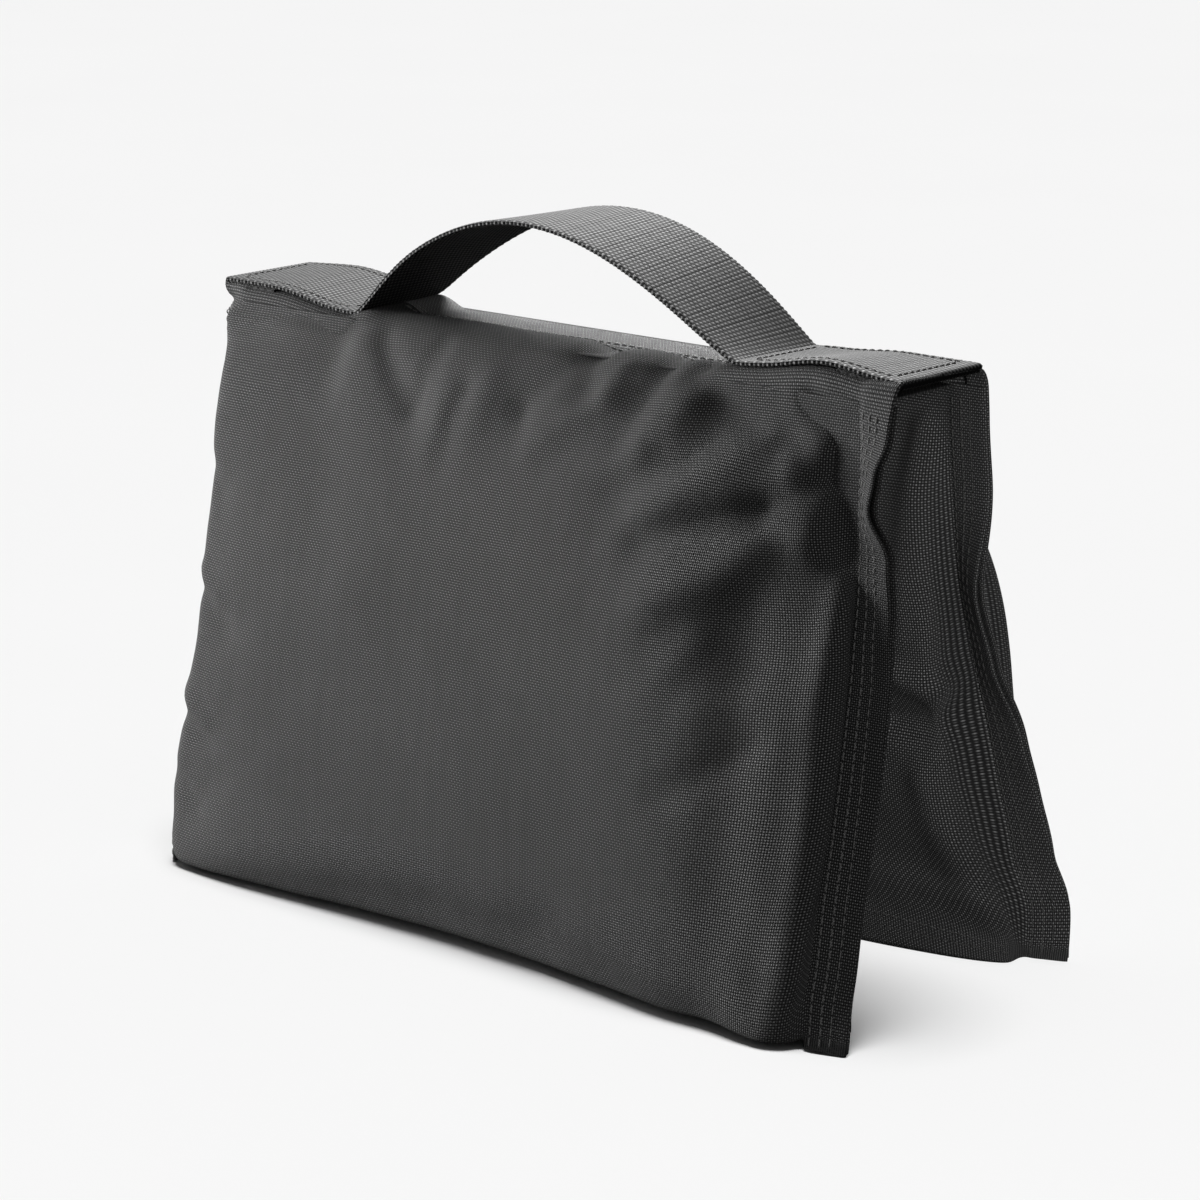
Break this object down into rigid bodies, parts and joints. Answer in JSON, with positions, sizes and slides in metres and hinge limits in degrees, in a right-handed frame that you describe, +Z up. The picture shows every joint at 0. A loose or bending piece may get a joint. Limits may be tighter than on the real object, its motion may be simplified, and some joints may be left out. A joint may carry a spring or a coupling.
{
  "type": "saddle sandbag",
  "caption": "Saddle sandbag for weighing down light stands: two flat sand-filled pouches joined by a fabric bridge, with an arched webbing carry handle.",
  "frame": {"origin": "on the ground, under the middle of the bag's bounding box, with the bag standing astride", "axes": "+X along the bag's length, +Y from the front pouch to the back pouch, +Z up"},
  "size_m": [0.37, 0.16, 0.2958],
  "materials": {
    "nylon_cloth": "matte",
    "webbing": "matte",
    "stitching_thread": "matte",
    "liner_film": "satin",
    "sand": "matte"
  },
  "bodies": {
    "saddle": {"bridge_outer_ply": "nylon_cloth", "bridge_inner_ply": "nylon_cloth", "bridge_front_stitches": "stitching_thread", "bridge_back_stitches": "stitching_thread", "left_strap_end": "webbing", "right_strap_end": "webbing", "left_box_stitches": "stitching_thread", "right_box_stitches": "stitching_thread"},
    "front_pouch": {"front_outer_panel": "nylon_cloth", "front_inner_panel": "nylon_cloth", "front_liner_bag": "liner_film", "front_sand_fill": "sand", "front_bottom_stitches": "stitching_thread", "front_left_outer_stitches": "stitching_thread", "front_left_inner_stitches": "stitching_thread", "front_right_outer_stitches": "stitching_thread", "front_right_inner_stitches": "stitching_thread"},
    "back_pouch": {"back_outer_panel": "nylon_cloth", "back_inner_panel": "nylon_cloth", "back_liner_bag": "liner_film", "back_sand_fill": "sand", "back_bottom_stitches": "stitching_thread", "back_left_outer_stitches": "stitching_thread", "back_left_inner_stitches": "stitching_thread", "back_right_outer_stitches": "stitching_thread", "back_right_inner_stitches": "stitching_thread"},
    "handle": {"handle_strap": "webbing"}
  },
  "joints": [
    {"name": "front_pouch_swing", "type": "hinge", "parent": "saddle", "child": "front_pouch", "pos_m": [0, -0.03863, 0.2468], "axis": [-1, 0, 0], "range_deg": [-6, 84]},
    {"name": "back_pouch_swing", "type": "hinge", "parent": "saddle", "child": "back_pouch", "pos_m": [0, 0.01257, 0.2468], "axis": [1, 0, 0], "range_deg": [-8, 75]},
    {"name": "handle_swing", "type": "hinge", "parent": "saddle", "child": "handle", "pos_m": [0, -0.01303, 0.268], "axis": [1, 0, 0], "range_deg": [-35, 35], "stiffness_Nm_per_rad": 0.06}
  ]
}
